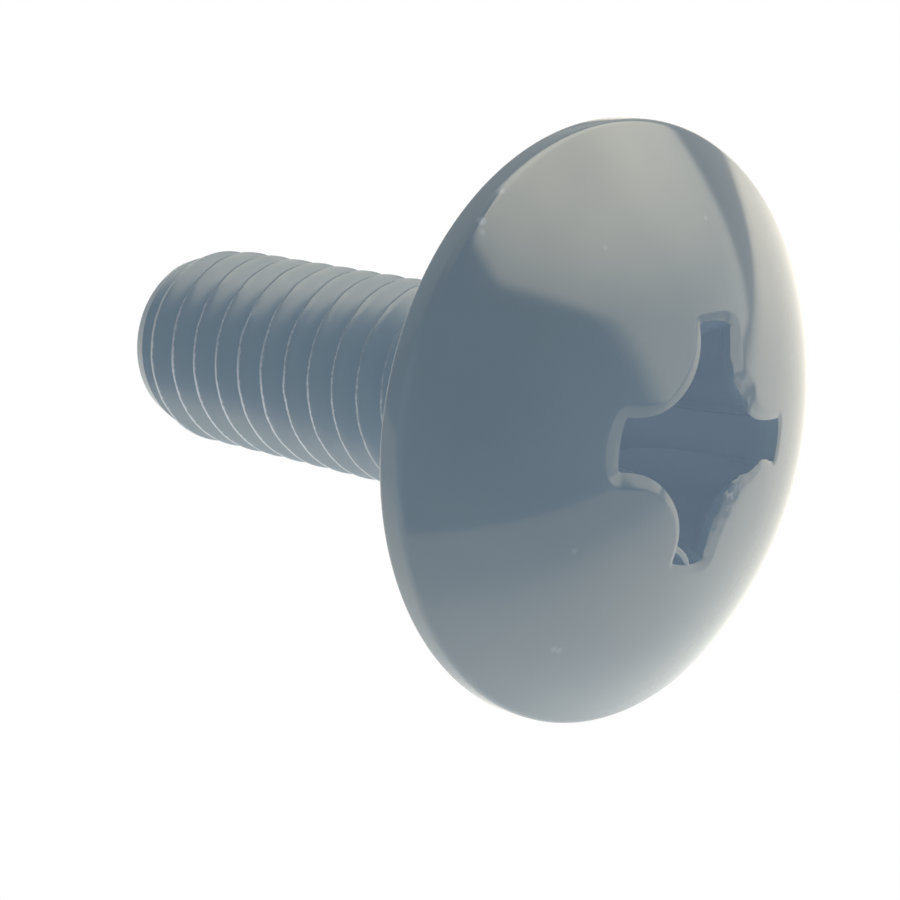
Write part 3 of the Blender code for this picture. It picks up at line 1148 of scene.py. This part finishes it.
# %% [markdown]
# ## What the gloss sees
# A glossy dome is a small round mirror, and what it shows gives it its form. A studio would put a
# large light panel beside the screw and leave the rest of the room dim. Area lamps could do that, but
# each would be a hard rectangle of one strength. Here the panel is drawn in the surround instead. It
# is bounded by great circles, which are straight edges as seen from the screw, and it is brightest in
# its middle. Three wide glows stand for a wall, the gap between wall and table, and the ceiling.

# %% Directions, edges of light and glows
def direction(azimuth, elevation):
    """A unit vector from an azimuth about +Z and an elevation, both in degrees."""
    a, e = radians(azimuth), radians(elevation)
    return Vector((cos(e) * cos(a), cos(e) * sin(a), sin(e)))


def past_edge(tree, look, edge, softness):
    """Soft step from 0 to 1 across the great circle through two directions."""
    start, end = edge
    side = start.cross(end).normalized()
    across = add_node(tree, "ShaderNodeVectorMath", [look, side], operation="DOT_PRODUCT")
    step = add_node(tree, "ShaderNodeMapRange", {"Value": across.outputs["Value"]})
    step.interpolation_type = "SMOOTHSTEP"
    step.inputs["From Min"].default_value = -softness
    step.inputs["From Max"].default_value = softness
    return step


def glow(tree, look, middle, spread, light):
    """Light that is strongest in one direction and fades away from it."""
    toward = add_node(tree, "ShaderNodeVectorMath", [look, middle], operation="DOT_PRODUCT")
    fade = add_node(tree, "ShaderNodeMapRange", {"Value": toward.outputs["Value"]})
    fade.interpolation_type = "SMOOTHSTEP"
    fade.inputs["From Min"].default_value = cos(spread)
    fade.inputs["To Max"].default_value = light
    return fade


print("towards +X:", direction(0, 0), "and straight up:", direction(0, 90))

# %% [markdown]
# The panel lies inside both its top edge and its foot edge, and inside at least one of its side and
# its slope. So the four steps are combined by products and one maximum, and the glows are added.

# %% The panel and the three glows
# Each edge of the panel goes through two directions, with light on the side of their cross product
PANEL_SIDE = (direction(27, 30), direction(27, 0))
PANEL_SLOPE = (direction(0.2, 54.7), direction(28, 28))
PANEL_TOP = (direction(20, 69.6), direction(6, 58.2))
PANEL_FOOT = (direction(70, -5.3), direction(91.7, 8.6))
SHARP_EDGE_OF_LIGHT = 0.035
SOFT_EDGE_OF_LIGHT = 0.09
PANEL_MIDDLE = direction(89.6, 50.6)
PANEL_LIGHT = 0.89
PANEL_GLOW = 1.48
GLOW_SPREAD = radians(52)
# Direction, half angle and strength of each glow
WALL = (direction(150, 12), radians(62), 0.38)
GAP = (direction(93.5, -2.8), radians(51), 0.45)
OVERHEAD = (direction(140, 72), radians(40), 0.35)


def light_seen(tree, look):
    """Strength of the light that comes from each direction: the panel and the three glows."""
    beside = past_edge(tree, look, PANEL_SIDE, SOFT_EDGE_OF_LIGHT)
    above = past_edge(tree, look, PANEL_SLOPE, SHARP_EDGE_OF_LIGHT)
    panel = add_node(tree, "ShaderNodeMath", [beside, above], operation="MAXIMUM")
    for edge in (PANEL_TOP, PANEL_FOOT):
        inside = past_edge(tree, look, edge, SHARP_EDGE_OF_LIGHT)
        panel = add_node(tree, "ShaderNodeMath", [panel, inside], operation="MULTIPLY")
    light = glow(tree, look, PANEL_MIDDLE, GLOW_SPREAD, PANEL_GLOW)
    light = add_node(tree, "ShaderNodeMath", [light, PANEL_LIGHT], operation="ADD")
    strength = add_node(tree, "ShaderNodeMath", [panel, light], operation="MULTIPLY")
    for middle, spread, level in (WALL, GAP, OVERHEAD):
        more = glow(tree, look, middle, spread, level)
        strength = add_node(tree, "ShaderNodeMath", [strength, more], operation="ADD")
    return strength


print(f"strength of the panel: {PANEL_LIGHT} to {PANEL_LIGHT + PANEL_GLOW:.2f}")

# %% [markdown]
# The surround shows this light to gloss alone. For the camera it is plain white, as the sheet is.

# %% The surround
PANEL_COLOUR = linear("#fffaea")
# Light that comes from all round, as a linear colour
DIM_ROOM = Vector((0.16, 0.20, 0.23))


def room():
    """The surround: gloss sees the room, the camera sees white, and matt surfaces see nothing."""
    world = bpy.data.worlds.new("room")
    bpy.context.scene.world = world
    world.use_nodes = True
    tree = world.node_tree
    look = tree.nodes.new("ShaderNodeTexCoord").outputs["Generated"]
    tinted = {0: PANEL_COLOUR[:3], "Scale": light_seen(tree, look)}
    bright = add_node(tree, "ShaderNodeVectorMath", tinted, operation="SCALE")
    colour = add_node(tree, "ShaderNodeVectorMath", [bright, DIM_ROOM], operation="ADD")
    seen = add_node(tree, "ShaderNodeBackground", {"Color": colour})
    plain = add_node(tree, "ShaderNodeBackground", {"Color": WHITE})
    path = tree.nodes.new("ShaderNodeLightPath").outputs["Is Camera Ray"]
    shown = add_node(tree, "ShaderNodeMixShader", [path, seen, plain])
    tree.links.new(shown.outputs[0], tree.nodes["World Output"].inputs[0])
    world.cycles_visibility.diffuse = False
    return world


surround = room()
print("surround:", len(surround.node_tree.nodes), "nodes")

# %% [markdown]
# ## Light for matt surfaces
# The film's own slate blue comes from light that goes into it and out again, and on this screw it is
# the same all over, as under an overcast sky. Twelve weak suns in the corners of an icosahedron light
# it from all sides alike. They cast no shadow and make no highlight, because the surround gives the
# gloss. The table has a sun of its own, and a soft pool of light on the side that the dome shows.

# %% Lamps
FILL_LIGHT = 0.93
TABLE_GLOW = 1.66
POOL_COLOUR = linear("#fff6e4")
POOL_DISTANCE = 300 * MM
POOL_MIDDLE = Vector((4.8, 40.0, 0)) * MM
POOL_SIDE = direction(80, 38)
POOL_RADIUS = 43 * MM
POOL_LIGHT = 2.15
# Elevation in degrees of each ring of the icosahedron's corners, and how many it has
FILL_RINGS = ((90, 1), (26.57, 5), (-26.57, 5), (-90, 1))


def light_only(source, item):
    """Let a lamp light the matt part of one object, and nothing else."""
    group = bpy.data.collections.new(source.name)
    group.objects.link(item)
    source.light_linking.receiver_collection = group
    source.visible_glossy = False


def lamp(name, kind, toward):
    """A lamp of one kind, that shines from a direction."""
    data = bpy.data.lights.new(name, kind)
    item = bpy.data.objects.new(name, data)
    item.rotation_euler = toward.to_track_quat("Z", "Y").to_euler()
    bpy.context.scene.collection.objects.link(item)
    return item


def fill(item):
    """Even light from the twelve corners of an icosahedron."""
    for elevation, count in FILL_RINGS:
        for index in range(count):
            # The lower ring is turned by half a step against the upper one
            azimuth = 360 * (index + (0.5 if elevation < 0 else 0)) / count
            sun = lamp(f"fill_{elevation:.0f}_{index}", "SUN", direction(azimuth, elevation))
            sun.data.energy = FILL_LIGHT
            sun.data.use_shadow = False
            light_only(sun, item)


def table_light(item):
    """Even light on the table, and a soft pool of it round the screw."""
    sun = lamp("table_sun", "SUN", direction(0, 90))
    sun.data.energy = TABLE_GLOW
    sun.data.use_shadow = False
    light_only(sun, item)
    spot = lamp("table_pool", "SPOT", POOL_SIDE)
    spot.location = POOL_MIDDLE + POOL_SIDE * POOL_DISTANCE
    spot.data.spot_size = 2 * atan2(POOL_RADIUS, POOL_DISTANCE)
    spot.data.spot_blend = 1.0
    spot.data.color = POOL_COLOUR[:3]
    spot.data.use_shadow = False
    # Scaled so that the pool stays as bright when the lamp is moved nearer or further away
    spot.data.energy = POOL_LIGHT * 4 * pi**2 * POOL_DISTANCE**2
    light_only(spot, item)


fill(screw)
table_light(floor)
bpy.context.scene.view_settings.view_transform = "Standard"
print(len(bpy.data.lights), "lamps")

# %% [markdown]
# ## The camera
# The view is from above and from the head's side, so the dome and its recess face the camera and the
# shank recedes behind them. The lens is long, as for a close picture of a small thing, but the camera
# is near enough for the far end of the shank to look smaller.

# %% Camera
CAMERA_PLACE = Vector((36.75, -39.61, 47.19)) * MM
CAMERA_FORWARD = Vector((-0.52147, 0.57428, -0.63109))
LENS = 97.22
SENSOR = 36.0


def camera():
    """Place the camera and point it along its direction of view, level from side to side."""
    data = bpy.data.cameras.new("camera")
    data.lens = LENS
    data.sensor_width = SENSOR
    data.sensor_fit = "HORIZONTAL"
    data.clip_start = 1 * MM
    item = bpy.data.objects.new("camera", data)
    item.location = CAMERA_PLACE
    item.rotation_euler = (-CAMERA_FORWARD).to_track_quat("Z", "Y").to_euler()
    bpy.context.scene.collection.objects.link(item)
    bpy.context.scene.camera = item


camera()
print(f"camera: {CAMERA_PLACE.length / MM:.0f} mm from the screw")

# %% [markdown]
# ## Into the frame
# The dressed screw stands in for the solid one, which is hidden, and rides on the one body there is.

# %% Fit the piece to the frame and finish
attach(screw, "root")
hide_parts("screw")
